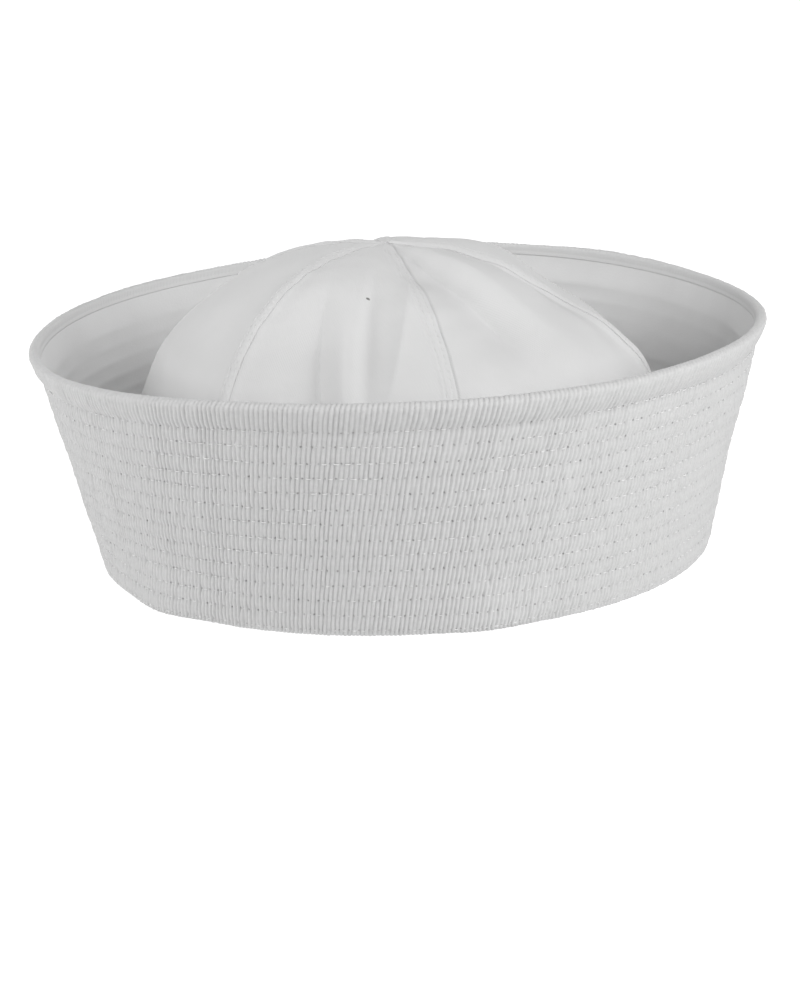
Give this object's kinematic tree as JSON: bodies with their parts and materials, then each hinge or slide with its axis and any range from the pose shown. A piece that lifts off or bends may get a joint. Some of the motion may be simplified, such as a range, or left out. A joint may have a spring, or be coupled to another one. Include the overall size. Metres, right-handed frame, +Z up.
{
  "type": "sailor cap",
  "caption": "White cotton sailor cap with a domed crown of felled gores inside a tall, flared, quilted brim that is turned up all round.",
  "frame": {"origin": "centre of the ring on which the cap stands, in the plane of its foot", "axes": "+Z up through the crown, -Y towards the front of the picture, +X to its right"},
  "size_m": [0.2262, 0.2262, 0.0966],
  "materials": {
    "brim_cloth": "white ribbed cotton, matt, quilted in rows",
    "crown_cloth": "white fine cotton twill, matt"
  },
  "bodies": {
    "root": {"brim_outer": "brim_cloth", "brim_inner": "brim_cloth", "crown_gore_1": "crown_cloth", "crown_gore_2": "crown_cloth", "crown_gore_3": "crown_cloth", "crown_gore_4": "crown_cloth", "crown_gore_5": "crown_cloth", "crown_gore_6": "crown_cloth"}
  },
  "joints": []
}
